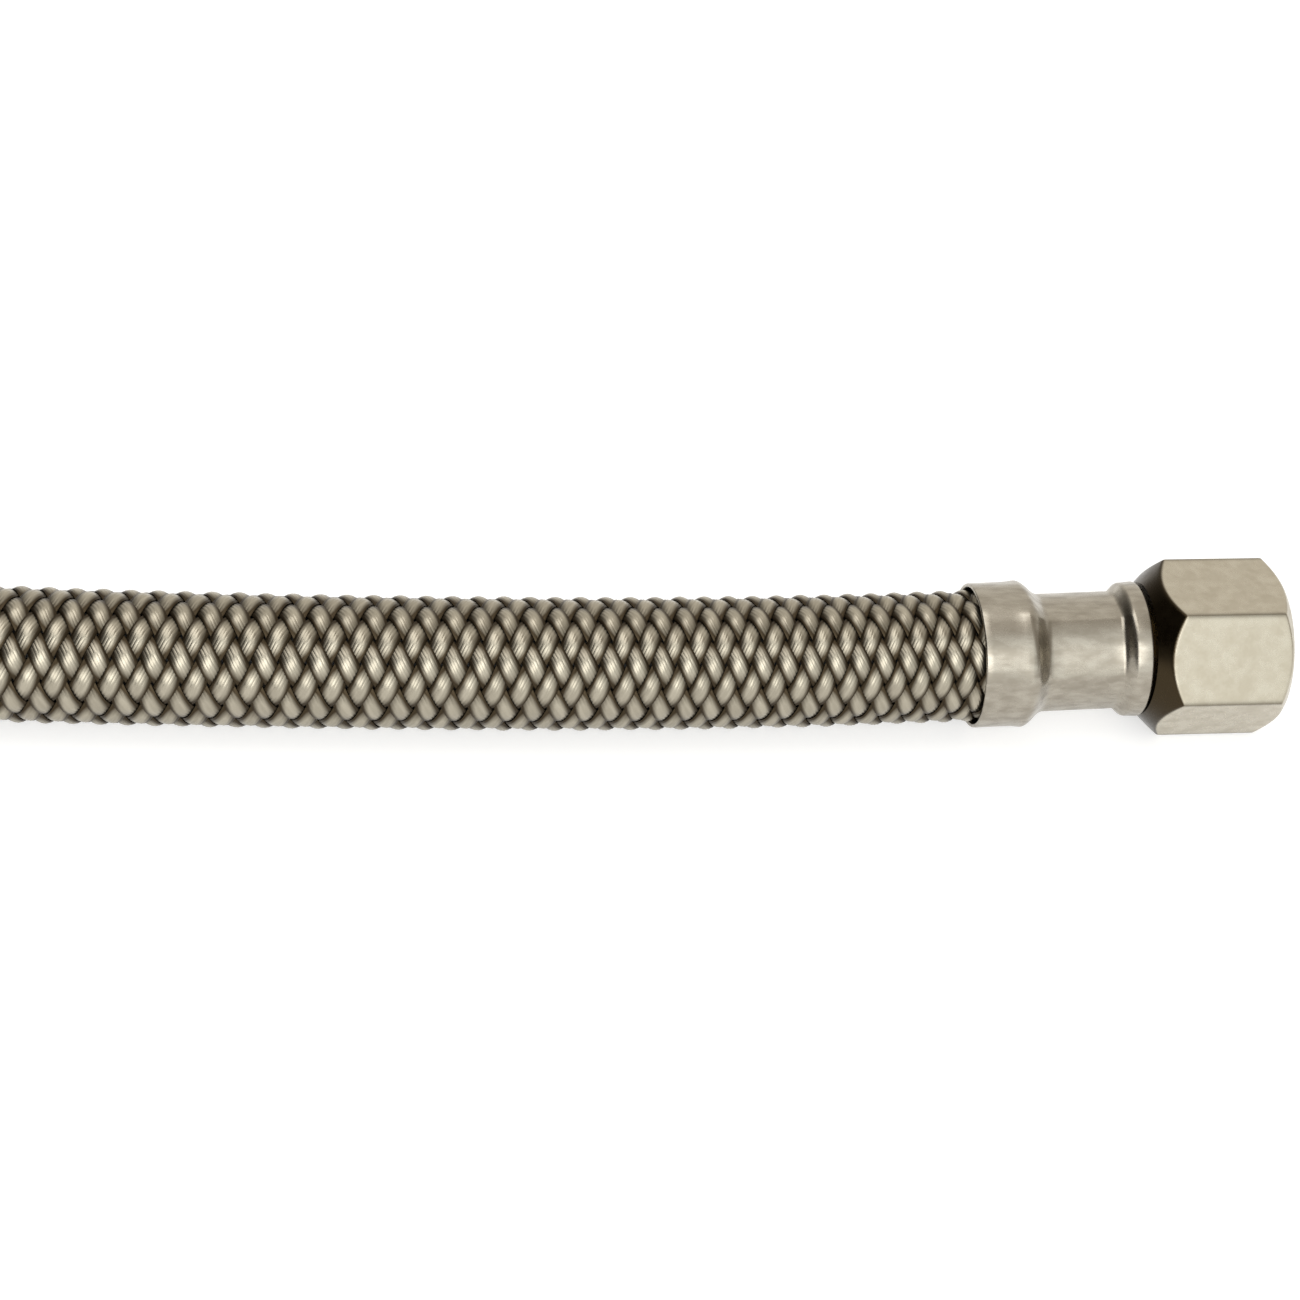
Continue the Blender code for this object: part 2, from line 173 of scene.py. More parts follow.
@dataclass(frozen=True)
class NickelPlatedBrass(Finish):
    """Machined brass with satin nickel plating: warm silver, softly blurred, faintly cloudy."""

    name: str = "nickel_plated_turned_brass"
    pale: str = "BCB5A5"
    dull: str = "AEA695"
    # Dark brown of the painted shade on the rear chamfer and along the corners
    painted_shade: str = "3B3224"
    cloud_size: float = 0.0016
    cloud_relief: float = 0.00008
    roughness: float = 0.28
    roughness_swing: float = 0.05

    def shader(self, tree: NodeTree) -> Node:
        """Builds the surface: plating in clouds, under painted shade in dark brown on the rear chamfer and
        along the corners.

        Args:
            tree: the material's tree.

        Returns:
            The shader node.
        """
        place = add_node(tree, "ShaderNodeTexCoord").outputs["Object"]
        # Plating clouds are about 1.6 mm wide, as the photograph shows them on the flats.
        grain = {"Scale": 1 / self.cloud_size, "Detail": 4.0, "Roughness": 0.6, "Vector": place}
        cloud = add_node(tree, "ShaderNodeTexNoise", grain).outputs["Fac"]
        share = add_node(tree, "ShaderNodeMapRange", {"Value": cloud, "From Min": 0.35, "From Max": 0.65})
        tones = {FACTOR: share.outputs["Result"], FIRST: linear(self.dull), SECOND: linear(self.pale)}
        plated = add_node(tree, "ShaderNodeMix", tones, data_type="RGBA").outputs[MIXED]
        # Painted shade: the attribute darkens the plating on the rear chamfer and along the corners.
        film = add_node(tree, "ShaderNodeAttribute", attribute_name="painted_shade").outputs["Fac"]
        tones = {FACTOR: film, FIRST: plated, SECOND: linear(self.painted_shade)}
        colour = add_node(tree, "ShaderNodeMix", tones, data_type="RGBA").outputs[MIXED]
        swing = self.roughness_swing
        blur = {"Value": cloud, "From Min": 0.3, "From Max": 0.7}
        blur |= {"To Min": self.roughness + swing, "To Max": self.roughness - swing}
        rough = add_node(tree, "ShaderNodeMapRange", blur).outputs["Result"]
        relief = {"Strength": 0.12, "Distance": self.cloud_relief, "Height": cloud}
        bump = add_node(tree, "ShaderNodeBump", relief).outputs["Normal"]
        surface = {"Metallic": 1.0, "Base Color": colour, "Roughness": rough, "Normal": bump}
        return add_node(tree, "ShaderNodeBsdfPrincipled", surface)


@dataclass(frozen=True)
class PressedStainless(Finish):
    """Drawn stainless tube pressed in a crimping die: bright, with faint lines along the draw."""

    name: str = "pressed_stainless_steel"
    bright: str = "A9A397"
    dull: str = "948D81"
    line_spacing: float = 0.0009
    line_stretch: float = 0.45
    line_relief: float = 0.00003
    roughness: float = 0.26
    rougher: float = 0.06
    smoother: float = 0.04

    def shader(self, tree: NodeTree) -> Node:
        """Builds the surface: long thin marks that stretch the highlights round the ferrule.

        Args:
            tree: the material's tree.

        Returns:
            The shader node.
        """
        place = add_node(tree, "ShaderNodeTexCoord").outputs["Object"]
        # Real draw lines are about 0.1 mm apart. They are drawn coarser, at 0.9 mm, to show at all.
        along = {"Scale": (self.line_stretch, 1.0, 1.0), "Vector": place}
        stretched = add_node(tree, "ShaderNodeMapping", along).outputs["Vector"]
        lines = {"Scale": 1 / self.line_spacing, "Detail": 3.0, "Vector": stretched}
        marks = add_node(tree, "ShaderNodeTexNoise", lines).outputs["Fac"]
        share = add_node(tree, "ShaderNodeMapRange", {"Value": marks, "From Min": 0.35, "From Max": 0.65})
        tones = {FACTOR: share.outputs["Result"], FIRST: linear(self.dull), SECOND: linear(self.bright)}
        colour = add_node(tree, "ShaderNodeMix", tones, data_type="RGBA").outputs[MIXED]
        blur = {"Value": marks, "From Min": 0.3, "From Max": 0.7}
        blur |= {"To Min": self.roughness + self.rougher, "To Max": self.roughness - self.smoother}
        rough = add_node(tree, "ShaderNodeMapRange", blur).outputs["Result"]
        relief = {"Strength": 0.15, "Distance": self.line_relief, "Height": marks}
        bump = add_node(tree, "ShaderNodeBump", relief).outputs["Normal"]
        surface = {"Metallic": 1.0, "Base Color": colour, "Roughness": rough, "Normal": bump}
        return add_node(tree, "ShaderNodeBsdfPrincipled", surface)


@dataclass(frozen=True)
class DrawnStainlessWire(Finish):
    """Bundles of drawn stainless wire: warm beige steel on the crowns, with painted shade in dark brown on
    the low stretches and band edges between them.
    """

    name: str = "drawn_stainless_wire"
    crown: str = "ABA494"
    # Dark brown: painted shade on the low stretches and band edges, and also the tone of the darker wires
    shade_and_dark_tone: str = "3E3528"
    tone_share: float = 0.22
    roughness: float = 0.29
    rougher: float = 0.15

    def shader(self, tree: NodeTree) -> Node:
        """Builds the surface: each wire has a tone of its own, and the low stretches and band edges are
        rougher and get painted shade.

        Args:
            tree: the material's tree.

        Returns:
            The shader node.
        """
        lift = add_node(tree, "ShaderNodeAttribute", attribute_name="lift").outputs["Fac"]
        tone = add_node(tree, "ShaderNodeAttribute", attribute_name="tone").outputs["Fac"]
        # Painted shade: the colour falls from the crown's tone to dark brown where the lift is low and at
        # the band edges.
        share = add_node(tree, "ShaderNodeMapRange", {"Value": lift, "From Min": 0.20, "From Max": 0.75})
        tones = {FACTOR: share.outputs["Result"], FIRST: linear(self.shade_and_dark_tone), SECOND: linear(self.crown)}
        painted_shading = add_node(tree, "ShaderNodeMix", tones, data_type="RGBA").outputs[MIXED]
        share = add_node(tree, "ShaderNodeMapRange", {"Value": tone, "To Max": self.tone_share})
        tones = {FACTOR: share.outputs["Result"], FIRST: painted_shading, SECOND: linear(self.shade_and_dark_tone)}
        colour = add_node(tree, "ShaderNodeMix", tones, data_type="RGBA").outputs[MIXED]
        blur = {"Value": lift, "From Min": 0.2, "From Max": 0.9}
        blur |= {"To Min": self.roughness + self.rougher, "To Max": self.roughness}
        rough = add_node(tree, "ShaderNodeMapRange", blur).outputs["Result"]
        surface = {"Metallic": 1.0, "Base Color": colour, "Roughness": rough}
        return add_node(tree, "ShaderNodeBsdfPrincipled", surface)


@dataclass(frozen=True)
class TurnedBrass(Finish):
    """Bare brass from the lathe, with fine rings, in tones darkened as painted shade, since it shows only in
    the gap at the nut.
    """

    name: str = "turned_brass"
    # Both tones are darker than bare brass: painted shade for the insert's glimpse in the gap between
    # ferrule and nut.
    pale: str = "75603A"
    deep: str = "4E3B1E"
    ring_spacing: float = 0.0004
    ring_relief: float = 0.00002
    roughness: float = 0.26

    def shader(self, tree: NodeTree) -> Node:
        """Builds the surface: rings across the stem, from the lathe tool's feed.

        Args:
            tree: the material's tree.

        Returns:
            The shader node.
        """
        place = add_node(tree, "ShaderNodeTexCoord").outputs["Object"]
        # A tool feed of 0.1 mm would be too fine to show, so the rings are drawn 0.4 mm apart.
        feed = {"Scale": WAVE_SCALE / self.ring_spacing, "Distortion": 0.6, "Vector": place}
        rings = add_node(tree, "ShaderNodeTexWave", feed, bands_direction="X").outputs["Fac"]
        tones = {FACTOR: rings, FIRST: linear(self.deep), SECOND: linear(self.pale)}
        colour = add_node(tree, "ShaderNodeMix", tones, data_type="RGBA").outputs[MIXED]
        relief = {"Strength": 0.2, "Distance": self.ring_relief, "Height": rings}
        bump = add_node(tree, "ShaderNodeBump", relief).outputs["Normal"]
        surface = {"Metallic": 1.0, "Roughness": self.roughness, "Base Color": colour, "Normal": bump}
        return add_node(tree, "ShaderNodeBsdfPrincipled", surface)


@dataclass(frozen=True)
class BlackRubber(Finish):
    """Black vulcanised rubber: dull, with a fine grain from the mould or the extruder's die."""

    face: str = "1E1D1B"
    bloom: str = "34322E"
    grain: float = 0.0005
    grain_relief: float = 0.00004
    roughness: float = 0.62
    ior: float = 1.52

    def shader(self, tree: NodeTree) -> Node:
        """Builds the surface: a pale bloom in patches, over fine grain.

        Args:
            tree: the material's tree.

        Returns:
            The shader node.
        """
        place = add_node(tree, "ShaderNodeTexCoord").outputs["Object"]
        # The bloom gathers in patches about half a millimetre wide.
        patches = {"Scale": 1 / self.grain, "Detail": 3.0, "Vector": place}
        grain = add_node(tree, "ShaderNodeTexNoise", patches).outputs["Fac"]
        share = add_node(tree, "ShaderNodeMapRange", {"Value": grain, "From Min": 0.4, "From Max": 0.7})
        tones = {FACTOR: share.outputs["Result"], FIRST: linear(self.face), SECOND: linear(self.bloom)}
        colour = add_node(tree, "ShaderNodeMix", tones, data_type="RGBA").outputs[MIXED]
        relief = {"Strength": 0.3, "Distance": self.grain_relief, "Height": grain}
        bump = add_node(tree, "ShaderNodeBump", relief).outputs["Normal"]
        surface = {"Roughness": self.roughness, "IOR": self.ior, "Base Color": colour, "Normal": bump}
        return add_node(tree, "ShaderNodeBsdfPrincipled", surface)


@dataclass(frozen=True)
class WhitePaper(Finish):
    """Matt white background paper: shows white to the camera and keeps a soft shadow."""

    name: str = "matt_white_paper"
    sheet: str = "C8C8C8"
    glow: float = 0.60

    def shader(self, tree: NodeTree) -> Node:
        """Builds the surface: diffuse paper, with a glow that only camera, mirror and glass rays see.

        Args:
            tree: the material's tree.

        Returns:
            The shader node.
        """
        diffuse = add_node(tree, "ShaderNodeBsdfDiffuse", {"Color": linear(self.sheet)})
        rays = add_node(tree, "ShaderNodeLightPath")
        seen = rays.outputs["Is Camera Ray"]
        for kind in ("Is Glossy Ray", "Is Transmission Ray"):
            either = {0: seen, 1: rays.outputs[kind]}
            seen = add_node(tree, "ShaderNodeMath", either, operation="MAXIMUM").outputs[0]
        strength = add_node(tree, "ShaderNodeMapRange", {"Value": seen, "To Max": self.glow})
        glow = add_node(tree, "ShaderNodeEmission", {"Strength": strength.outputs["Result"]})
        return add_node(tree, "ShaderNodeAddShader", {0: diffuse.outputs[0], 1: glow.outputs[0]})


def grid_faces(rows: int, columns: int, offset: int = 0, close_rows: bool = False) -> np.ndarray:
    """Quads of a grid of points whose columns close on themselves.

    Args:
        rows: number of rings.
        columns: points in each ring.
        offset: number of the first point.
        close_rows: whether the last ring joins the first.

    Returns:
        An array of four point numbers a quad.
    """
    row = np.arange(rows if close_rows else rows - 1)[:, None]
    column = np.arange(columns)[None, :]
    after_row, after_column = (row + 1) % rows, (column + 1) % columns
    corners = [
        row * columns + column,
        row * columns + after_column,
        after_row * columns + after_column,
        after_row * columns + column,
    ]
    return np.stack(corners, axis=-1).reshape(-1, 4) + offset


def make_piece(
    name: str, points: np.ndarray, faces: list, material: Material, sharp_angle: float | None = 0.6
) -> Object:
    """Turns points and faces into a smooth-shaded object in the scene.

    Args:
        name: the piece's name.
        points: one row of x, y and z for each point.
        faces: point numbers of each face, facing out.
        material: the finish that it gets.
        sharp_angle: angle in radians over which an edge is shaded sharp, or None for no such edge.

    Returns:
        The new object.
    """
    mesh = bpy.data.meshes.new(name)
    mesh.from_pydata(points.reshape(-1, 3).tolist(), [], [list(map(int, face)) for face in faces])
    mesh.shade_smooth()
    if sharp_angle:
        mesh.set_sharp_from_angle(angle=sharp_angle)
    mesh.materials.append(material)
    piece = bpy.data.objects.new(name, mesh)
    bpy.context.scene.collection.objects.link(piece)
    return piece


def ease(share: np.ndarray) -> np.ndarray:
    """Turns a share into a smooth rise from 0 to 1, level at both ends."""
    return (1 - np.cos(np.pi * np.clip(share, 0.0, 1.0))) / 2


def rings_about_axis(places: np.ndarray, reach: np.ndarray, turn: np.ndarray) -> np.ndarray:
    """Rings of points about a fitting's own X axis.

    Args:
        places: one place along the axis for each ring.
        reach: distances from the axis, by ring and by angle, or one for each ring as a column.
        turn: angles round the axis in radians.

    Returns:
        Points by ring and angle, with a last axis of 3.
    """
    reach = np.broadcast_to(reach, (len(places), len(turn)))
    x = np.broadcast_to(places[:, None], reach.shape)
    return np.stack([x, reach * np.cos(turn), reach * np.sin(turn)], axis=-1)


@dataclass
class HoseRoute:
    """The hose's centreline, on the same smooth cubic curve through the same points as in the CAD."""

    half: tuple = HALF_ROUTE

    def __post_init__(self) -> None:
        """Joins the two halves and works out the curve's slopes at the points."""
        right = [(x, side, AXIS_HEIGHT - drop) for x, side, drop in reversed(self.half)]
        left = [(-x, side, height) for x, side, height in reversed(right[1:])]
        self.points = np.array(left + right)
        after = np.concatenate([self.points[1:], self.points[-1:]])
        before = np.concatenate([self.points[:1], self.points[:-1]])
        self.slopes = (after[:, 1:] - before[:, 1:]) / (after[:, :1] - before[:, :1])

    @property
    def end(self) -> float:
        """Distance of each cut end of the hose from the middle."""
        return self.half[0][0]

    @property
    def run(self) -> float:
        """How far along X a metre of the fitting's axis reaches."""
        heading, pitch = self.slants()
        return math.cos(heading) * math.cos(pitch)

    @property
    def rim(self) -> float:
        """Distance of each ferrule's rim from the middle."""
        return self.end + FERRULE_RIM * self.run

    def at(self, x: np.ndarray) -> tuple[np.ndarray, np.ndarray, np.ndarray]:
        """Centre and the two directions across the hose.

        Args:
            x: places along the frame's X axis.

        Returns:
            Centres, sideways directions and upward directions, each with x's shape and a last axis of 3.
        """
        x = np.asarray(x, float)
        index = np.clip(np.searchsorted(self.points[:, 0], x) - 1, 0, len(self.points) - 2)
        start, stop = self.points[index], self.points[index + 1]
        span = (stop[..., 0] - start[..., 0])[..., None]
        share = ((x - start[..., 0])[..., None]) / span
        rise0, rise1 = self.slopes[index] * span, self.slopes[index + 1] * span
        change = stop[..., 1:] - start[..., 1:]
        cubic = rise0 + rise1 - 2 * change
        square = 3 * change - 2 * rise0 - rise1
        offset = start[..., 1:] + share * (rise0 + share * (square + share * cubic))
        slope = (rise0 + share * (2 * square + 3 * share * cubic)) / span
        centre = np.concatenate([x[..., None], offset], axis=-1)
        along = np.concatenate([np.ones_like(x)[..., None], slope], axis=-1)
        along /= np.linalg.norm(along, axis=-1, keepdims=True)
        across = np.stack([-along[..., 1], along[..., 0], np.zeros_like(x)], axis=-1)
        across /= np.linalg.norm(across, axis=-1, keepdims=True)
        return centre, across, np.cross(along, across)

    def around(self, x: np.ndarray, turn: np.ndarray, radius: np.ndarray) -> np.ndarray:
        """Points at a turn about the hose and a distance from its centreline.

        Args:
            x: places along the frame's X axis.
            turn: angles in radians, from the +Y side up.
            radius: distances from the centreline.

        Returns:
            Points with a last axis of 3.
        """
        centre, across, up = self.at(x)
        side, lift = radius * np.cos(turn), radius * np.sin(turn)
        return centre + across * side[..., None] + up * lift[..., None]

    def slants(self) -> tuple[float, float]:
        """Finds how the fitting's axis slants at the +X end.

        Returns:
            Heading and pitch in radians.
        """
        (x0, side0, drop0), (x1, side1, drop1) = self.half[:2]
        run = math.hypot(x0 - x1, side0 - side1)
        return math.atan2(side0 - side1, x0 - x1), math.atan2(drop1 - drop0, run)

    def fitting(self, end: End) -> Matrix:
        """Place and direction of an end's fitting.

        Args:
            end: the end it is on.

        Returns:
            Its matrix, whose own X runs from the hose's cut end to the mouth.
        """
        heading, pitch = self.slants()
        turn = heading if end is End.VALVE else math.pi - heading
        _, side, drop = self.half[0]
        place = Vector((end.value * self.end, side, AXIS_HEIGHT - drop))
        return Matrix.Translation(place) @ Matrix.Rotation(turn, 4, "Z") @ Matrix.Rotation(-pitch, 4, "Y")

    def swivel(self, end: End) -> Matrix:
        """Place and direction of an end's nut, which lies level.

        Args:
            end: the end it is on.

        Returns:
            Its matrix, whose own X runs from the pivot to the mouth.
        """
        heading, _ = self.slants()
        turn = heading if end is End.VALVE else math.pi - heading
        pivot = self.fitting(end) @ Vector((NUT_PIVOT, 0, 0))
        pivot.z = AXIS_HEIGHT
        return Matrix.Translation(pivot) @ Matrix.Rotation(turn, 4, "Z")


@dataclass
class BraidedSleeve:
    """Woven sleeve: eight bands of wire each way, one over and one under."""

    bands: int = 8
    wires: int = 6
    outer_radius: float = 0.0067
    bore_radius: float = 0.0057
    crimped_outer_radius: float = 0.00507
    crimped_bore_radius: float = 0.00467
    # Half of a band's width, in bands, and how far it swings over and under its middle surface
    band_share: float = 0.445
    swing: float = 0.00031
    # Height of a wire's ridge, and how much lower the band's edges are than its middle
    wire_height: float = 0.000045
    crown: float = 0.00022
    band_thickness: float = 0.00028
    # Distance between crossings at the ferrules and in the middle, and how far out it changes
    tight_pitch: float = 0.00237
    open_pitch: float = 0.00265
    opening_length: float = 0.067
    turn_phase: float = 0.15
    place_phase: float = -0.36
    bottom_share: float = 0.8
    # How much the lift falls at a band's edges, which paints shade on them
    edge_shade: float = 0.95
    # How far each band strays up and down, as a share of its swing, and sideways, in bands
    swing_spread: float = 0.05
    place_spread: float = 0.012
    most_crossings: int = 400
    right_seed: int = 31
    left_seed: int = 32
    # Rings between two crossings, where the sleeve shows and under the ferrules
    steps_in_view: int = 6
    steps_hidden: int = 2
    view_margin: float = 0.0006
    winding_samples: int = 2001
    cord_length: float = 0.1944
    cord_points: int = 31

    def winding(self, route: HoseRoute) -> tuple[np.ndarray, np.ndarray]:
        """Counts the crossings along the hose, which lie closer together near the ferrules.

        Args:
            route: the hose's centreline.

        Returns:
            Places along X, and the number of crossings at each, from the middle.
        """
        places = np.linspace(-route.end, route.end, self.winding_samples)
        share = np.clip((route.rim - np.abs(places)) / self.opening_length, 0, 1)
        pitch = self.tight_pitch + (self.open_pitch - self.tight_pitch) * share
        steps = np.diff(places) * (1 / pitch[1:] + 1 / pitch[:-1]) / 2
        counts = np.concatenate([[0.0], np.cumsum(steps)])
        return places, counts + self.place_phase - counts[len(counts) // 2]

    def wall(self, x: np.ndarray, share: np.ndarray, route: HoseRoute) -> np.ndarray:
        """Radius at a share of the sleeve's thickness, squeezed under the ferrules.

        Args:
            x: places along the frame's X axis.
            share: 0 at the sleeve's bore and 1 at its outside.
            route: the hose's centreline.

        Returns:
            Radii with x's shape.
        """
        depth = (route.end - np.abs(x)) / route.run
        free = ease((depth - NECK_LENGTH) / STEP_LENGTH)
        bore = self.crimped_bore_radius + (self.bore_radius - self.crimped_bore_radius) * free
        outer = self.crimped_outer_radius + (self.outer_radius - self.crimped_outer_radius) * free
        return bore + (outer - bore) * share

    def profile(self) -> tuple[np.ndarray, np.ndarray]:
        """Section across one band, with a ridge for each wire and a narrower underside.

        Returns:
            Places across it, in bands, and heights over its middle surface.
        """
        count = 2 * self.wires
        across = np.arange(count + 1) / count * 2 - 1
        crest = np.arange(count + 1) % 2
        height = self.wire_height * crest - self.crown * across**2
        bottom = np.array([self.bottom_share, -self.bottom_share])
        across = np.concatenate([across, bottom])
        height = np.concatenate([height, -self.band_thickness - self.crown * bottom**2])
        return across * self.band_share, height

    def band(
        self, index: int, lay: Lay, route: HoseRoute, rng: np.random.Generator
    ) -> tuple[np.ndarray, np.ndarray, np.ndarray]:
        """Points of one band from cut end to cut end, with each point's lift and tone.

        Args:
            index: number of the band.
            lay: the way it winds.
            route: the hose's centreline.
            rng: source of the small differences between wires and crossings.

        Returns:
            Points as rings, lift from 0 to 1, which also paints shade on the wires, and tone from 0 to 1.
        """
        across, height = self.profile()
        places, totals = self.winding(route)
        start, stop = totals[0], totals[-1]
        low = math.ceil((2 * start - index + self.band_share) * self.steps_in_view)
        high = math.floor((2 * stop - index - self.band_share) * self.steps_in_view)
        keep = self.steps_in_view // self.steps_hidden
        ticks = np.arange(low, high + 1)
        counts = (ticks / self.steps_in_view + index) / 2
        in_view = np.abs(np.interp(counts, totals, places)) < route.rim + self.view_margin
        ticks = ticks[in_view | (ticks % keep == 0)]
        other = ticks / self.steps_in_view
        crossing = np.cos(np.pi * (other - index)) * lay.value
        numbers = np.arange(-self.most_crossings, self.most_crossings)
        sway, drift = (
            np.interp(other, numbers, rng.normal(0.0, spread, len(numbers)))
            for spread in (self.swing_spread, self.place_spread)
        )
        level = crossing * (1 + sway)
        own = index + across[None, :] + drift[:, None]
        along = (own + other[:, None]) / 2
        turn_count = (other[:, None] - own) / 2 * lay.value
        x = np.interp(along, totals, places)
        middle = self.outer_radius - self.wire_height - self.swing
        free = middle + self.swing * level[:, None] + height[None, :]
        share = (free - self.bore_radius) / (self.outer_radius - self.bore_radius)
        radius = self.wall(x, share, route)
        turn = (turn_count + self.turn_phase) * 2 * np.pi / self.bands
        points = route.around(x, turn, radius)
        # Lift is the height within the band's swing. The wires' colour darkens as it falls, which paints
        # shade on the low stretches.
        lift = np.clip((free - middle + self.swing) / (2 * self.swing + self.wire_height), 0, 1)
        tones = np.repeat(rng.random(self.wires), 2)
        tone = np.broadcast_to(np.concatenate([tones, tones[-1:], tones[:1], tones[:1]]), lift.shape)
        # Painted shade: the lift falls towards each band's edges, so the edges darken too.
        lift = lift * (1 - self.edge_shade * (across[None, :] / self.band_share) ** 2)
        return points, lift, tone

    def build_lay(self, lay: Lay, route: HoseRoute, material: Material) -> Object:
        """Builds all the bands that wind one way, as one piece.

        Args:
            lay: the way they wind.
            route: the hose's centreline.
            material: the wires' finish.

        Returns:
            The new piece.
        """
        rng = np.random.default_rng(self.right_seed if lay is Lay.RIGHT else self.left_seed)
        points, faces, lifts, tones, grooves = [], [], [], [], []
        offset = 0
        for index in range(self.bands):
            ring, lift, tone = self.band(index, lay, route, rng)
            rows, columns = ring.shape[:2]
            quads = grid_faces(rows, columns, offset)
            caps = [np.arange(columns)[::-1] + offset, np.arange(columns) + offset + (rows - 1) * columns]
            if lay is Lay.RIGHT:
                quads, caps = quads[:, ::-1], [cap[::-1] for cap in caps]
            faces += [*quads, *caps]
            points.append(ring.reshape(-1, 3))
            lifts.append(lift.reshape(-1))
            tones.append(tone.reshape(-1))
            column = np.tile(np.arange(columns), rows)
            grooves.append(np.where((column % 2 == 0) & (column <= 2 * self.wires), column, -1))
            offset += rows * columns
        name = f"braid_{lay.name.lower()}_lay"
        piece = make_piece(name, np.concatenate(points), faces, material, sharp_angle=None)
        self.mark_grooves(piece.data, np.concatenate(grooves))
        for label, values in (("lift", lifts), ("tone", tones)):
            attribute = piece.data.attributes.new(label, "FLOAT", "POINT")
            attribute.data.foreach_set("value", np.concatenate(values).astype(np.float32))
        return piece

    def mark_grooves(self, mesh: Mesh, grooves: np.ndarray) -> None:
        """Shades the grooves between wires sharp, so that each wire looks round.

        Args:
            mesh: the bands' mesh.
            grooves: for each point, the number of its groove, or -1 where it lies in none.
        """
        ends = np.empty(len(mesh.edges) * 2, np.int32)
        mesh.edges.foreach_get("vertices", ends)
        ends = grooves[ends.reshape(-1, 2)]
        sharp = (ends[:, 0] == ends[:, 1]) & (ends[:, 0] >= 0)
        attribute = mesh.attributes.get("sharp_edge") or mesh.attributes.new("sharp_edge", "BOOLEAN", "EDGE")
        attribute.data.foreach_set("value", sharp)

    def build(self, route: HoseRoute, wire: Material) -> None:
        """Args:
            route: the hose's centreline.
            wire: the wires' finish.
        """
        right = self.build_lay(Lay.RIGHT, route, wire)
        left = self.build_lay(Lay.LEFT, route, wire)
        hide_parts("braid_sleeve")
        for piece in (right, left):
            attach(piece, "root")
            LOG.info("%s: %d faces", piece.name, len(piece.data.polygons))
        path = route.at(np.linspace(route.end, -route.end, self.cord_points))[0]
        rim, _, _ = route.at(np.array(route.rim))


@dataclass
class FittingPart:
    """What the parts of a fitting share: a closed run of rings that stands for a node of the frame."""

    node: str
    piece_name: str
    sharp_angle: float = 0.6

    def rings(self) -> np.ndarray:
        """Points by ring and angle in the part's own axes, each part in its own way."""
        raise NotImplementedError

    def film(self) -> np.ndarray | None:
        """How much painted shade each point gets, from 0 to 1, or None for a part that has none."""
        return None

    def place(self, end: End, route: HoseRoute) -> tuple[Matrix, str]:
        """Matrix of the part's own axes and the body that it rides on: the hose's end and the root."""
        return route.fitting(end), "root"

    def build(self, end: End, route: HoseRoute, finish: Material) -> Object:
        """Builds the part as a closed shell, in its place in the frame.

        Args:
            end: the end it is on.
            route: the hose's centreline.
            finish: its material.

        Returns:
            The new piece.
        """
        rings, film = self.rings(), self.film()
        matrix, body = self.place(end, route)
        points = rings.reshape(-1, 3) @ np.array(matrix.to_3x3()).T + np.array(matrix.translation)
        faces = list(grid_faces(*rings.shape[:2], close_rows=True))
        piece = make_piece(f"{end.label}_{self.piece_name}", points, faces, finish, self.sharp_angle)
        # A part's painted shade goes to the mesh as an attribute.
        if film is not None:
            attribute = piece.data.attributes.new("painted_shade", "FLOAT", "POINT")
            attribute.data.foreach_set("value", film.reshape(-1).astype(np.float32))
        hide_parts(f"{end.label}_{self.node}")
        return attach(piece, body)


